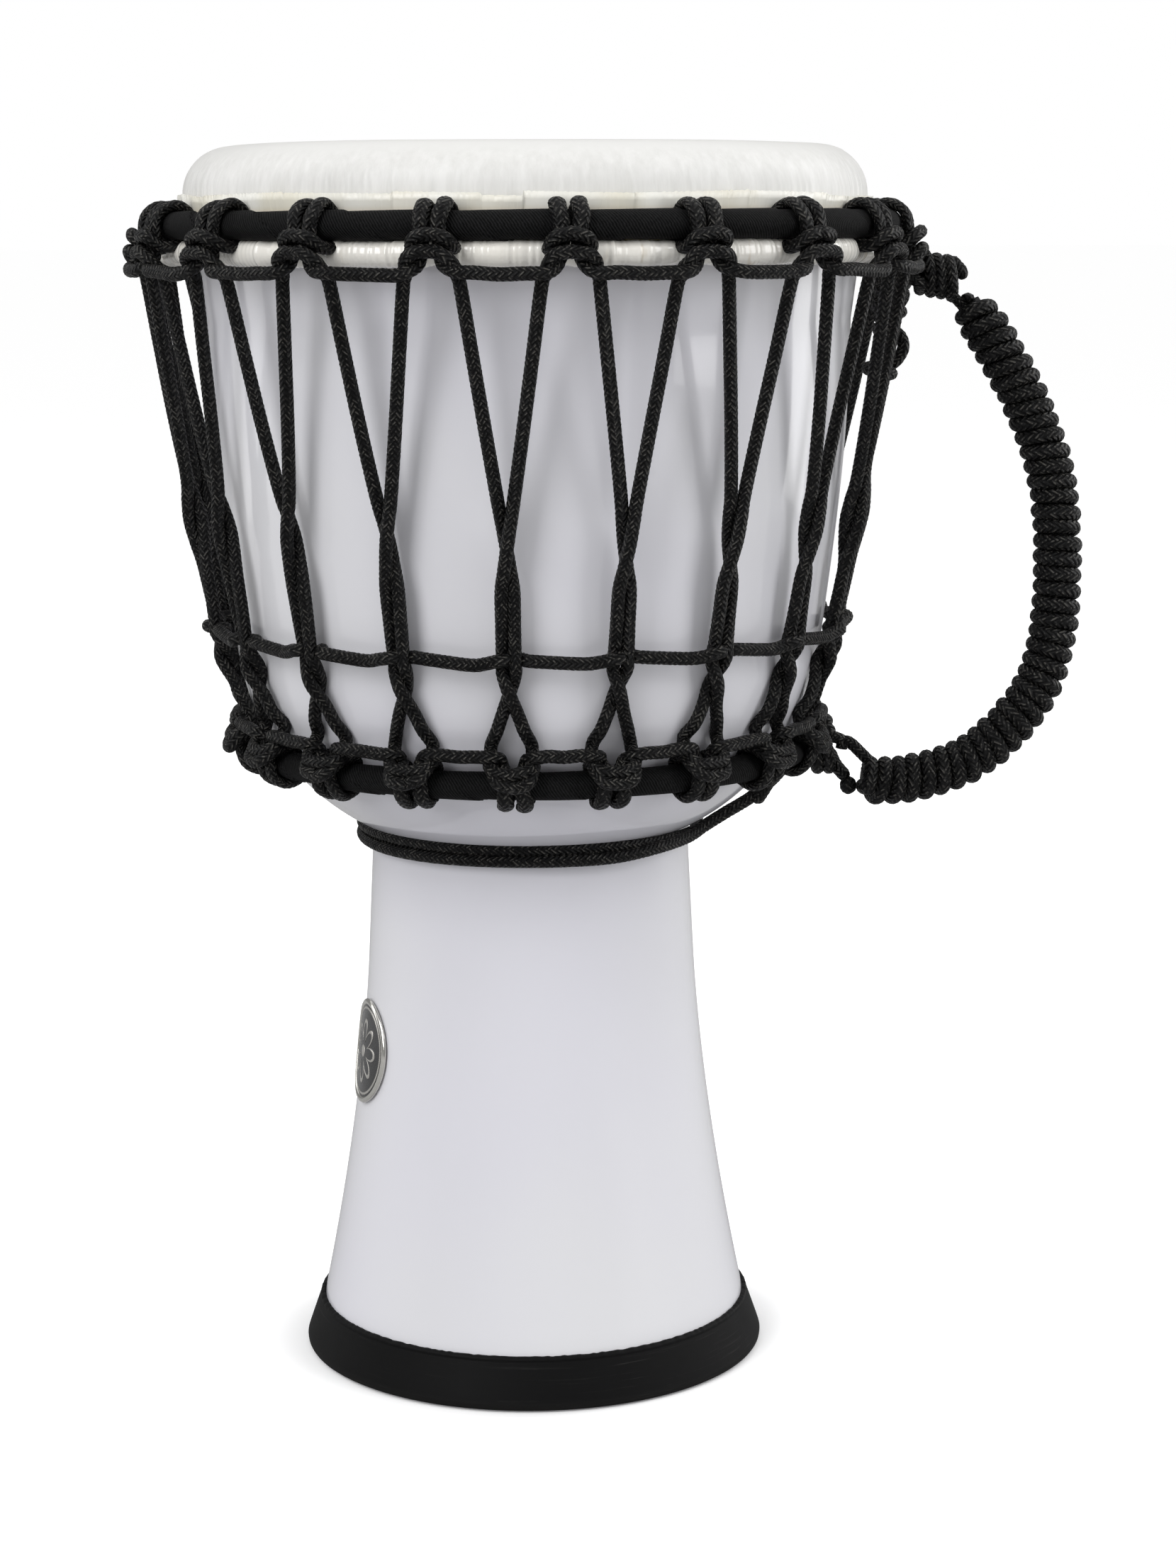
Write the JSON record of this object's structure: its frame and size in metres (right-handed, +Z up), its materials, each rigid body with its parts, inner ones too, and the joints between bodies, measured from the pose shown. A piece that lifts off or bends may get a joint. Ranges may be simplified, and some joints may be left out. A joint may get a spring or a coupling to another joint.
{
  "type": "djembe",
  "caption": "Small rope-tuned djembe: white goblet shell, film head, knotted black rope net, rope-wrapped carrying handle, rubber foot.",
  "frame": {"origin": "on the drum's axis at the floor it stands on, at the middle of the rubber foot's underside", "axes": "+Z up along the drum's axis, towards the drumhead; +X towards the carrying handle; the badge is on the far side, about 196 degrees round from the handle"},
  "size_m": [0.2481, 0.2049, 0.3175],
  "materials": {
    "shell": "gloss",
    "rubber": "matte",
    "head_film": "satin",
    "steel": "satin",
    "ring_tape": "matte",
    "rope": "satin",
    "badge_metal": "polished",
    "badge_face": "gloss",
    "adhesive": "matte"
  },
  "bodies": {
    "drum": {"shell": "shell", "foot_ring": "rubber", "drumhead": "head_film", "flesh_hoop": "steel", "crown_ring": "steel", "crown_ring_tape": "ring_tape", "crown_cradle_rope": "rope", "crown_hitch_bars": "rope", "tension_rope": "rope", "weave_row": "rope", "lower_ring": "steel", "lower_ring_tape": "ring_tape", "lower_cradle_rope": "rope", "lower_hitch_bars": "rope", "waist_rope": "rope", "tie_off": "rope", "top_knot": "rope", "bottom_knot": "rope", "badge_pad": "adhesive", "badge_frame": "badge_metal", "badge_plate": "badge_face"},
    "handle": {"top_neck": "rope", "bottom_neck": "rope", "handle_core": "rope", "handle_wrap": "rope"}
  },
  "joints": [
    {"name": "handle_swing", "type": "hinge", "parent": "drum", "child": "handle", "pos_m": [0.0823, 0, 0.1589], "axis": [0.2042, 0, 0.9789], "range_deg": [-75, 75]}
  ]
}
